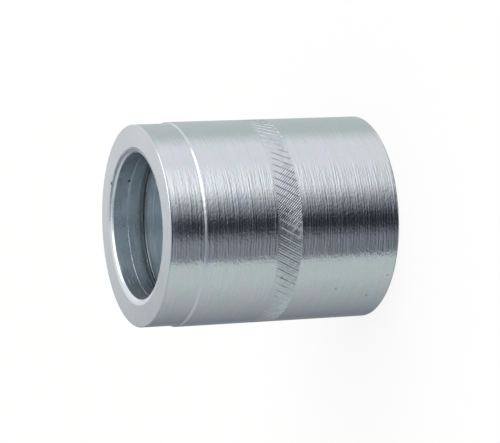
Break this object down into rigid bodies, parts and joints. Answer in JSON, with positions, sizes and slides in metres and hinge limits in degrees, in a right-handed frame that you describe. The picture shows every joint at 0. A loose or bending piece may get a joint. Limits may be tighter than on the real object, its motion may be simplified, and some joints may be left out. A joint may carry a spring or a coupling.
{
  "type": "conduit coupling",
  "caption": "Thick-walled turned steel sleeve, open right through, with a slightly reduced end, a chamfered mouth and a knurled ring round its middle.",
  "frame": {"origin": "centre of the plain end's flat face, where the sleeve stands", "axes": "+Z along the sleeve's axis, from the plain end to the stepped end"},
  "size_m": [0.036, 0.036, 0.0424],
  "materials": {
    "zinc_plated_steel": "bright clear zinc plate over turned steel, fine feed marks round the axis"
  },
  "bodies": {
    "root": {"coupling_sleeve": "zinc_plated_steel"}
  },
  "joints": []
}
